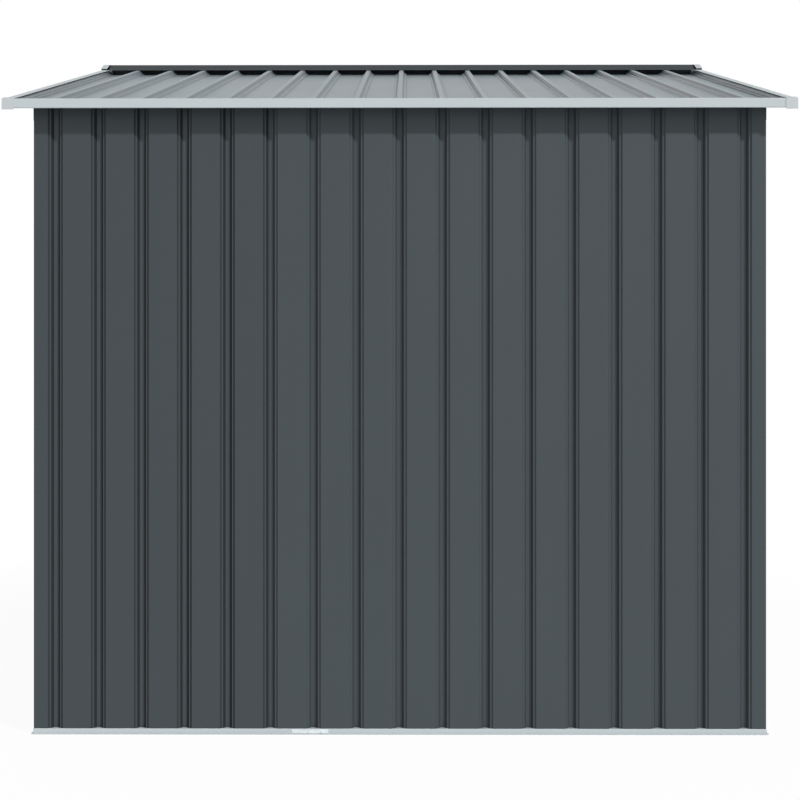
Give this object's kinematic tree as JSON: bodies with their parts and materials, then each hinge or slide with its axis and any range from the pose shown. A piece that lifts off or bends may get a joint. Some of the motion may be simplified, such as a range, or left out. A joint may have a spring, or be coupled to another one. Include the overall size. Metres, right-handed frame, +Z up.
{
  "type": "metal storage shed",
  "caption": "Gabled garden shed of ribbed dark grey steel sheet on a folded base frame, with silver eave, gable-edge and base trims, a ridge cap and closed doors in one gable.",
  "frame": {"origin": "on the ground, at the middle of the footprint", "axes": "+X along the ridge towards the gable with the doors, +Y across the ridge, +Z up"},
  "size_m": [1.951, 2.77, 1.919],
  "materials": {
    "wall_paint": "satin anthracite",
    "trim_paint": "satin silver",
    "cap_plastic": "satin silver grey",
    "galvanised_steel": "galvanised",
    "handle_plastic": "fine grain"
  },
  "bodies": {
    "root": {"near_base_rail_left": "trim_paint", "near_base_rail_right": "trim_paint", "far_base_rail_left": "trim_paint", "far_base_rail_right": "trim_paint", "back_base_rail": "trim_paint", "front_base_rail_near": "trim_paint", "front_base_rail_far": "trim_paint", "base_rail_splices": "galvanised_steel", "near_wall_panel_left": "wall_paint", "near_wall_panel_right": "wall_paint", "far_wall_panel_left": "wall_paint", "far_wall_panel_right": "wall_paint", "back_wall_panel_near": "wall_paint", "back_wall_panel_far": "wall_paint", "front_wall_panel_near": "wall_paint", "front_wall_panel_far": "wall_paint", "back_gable_panel_near": "wall_paint", "back_gable_panel_far": "wall_paint", "front_gable_panel_near": "wall_paint", "front_gable_panel_far": "wall_paint", "door_threshold": "trim_paint", "door_track": "galvanised_steel", "door_header": "trim_paint", "door_leaf_near": "wall_paint", "door_leaf_far": "wall_paint", "door_handles": "handle_plastic", "near_roof_panel_left": "wall_paint", "near_roof_panel_right": "wall_paint", "far_roof_panel_left": "wall_paint", "far_roof_panel_right": "wall_paint", "near_eave_trim": "trim_paint", "far_eave_trim": "trim_paint", "front_rake_trim_near": "trim_paint", "front_rake_trim_far": "trim_paint", "back_rake_trim_near": "trim_paint", "back_rake_trim_far": "trim_paint", "eave_corner_caps": "cap_plastic", "ridge_cap": "wall_paint", "ridge_end_caps": "cap_plastic", "wall_top_rails": "galvanised_steel", "front_rafters": "galvanised_steel", "back_rafters": "galvanised_steel", "roof_purlins": "galvanised_steel", "ridge_beam": "galvanised_steel", "wall_mid_rails": "galvanised_steel"}
  },
  "joints": []
}
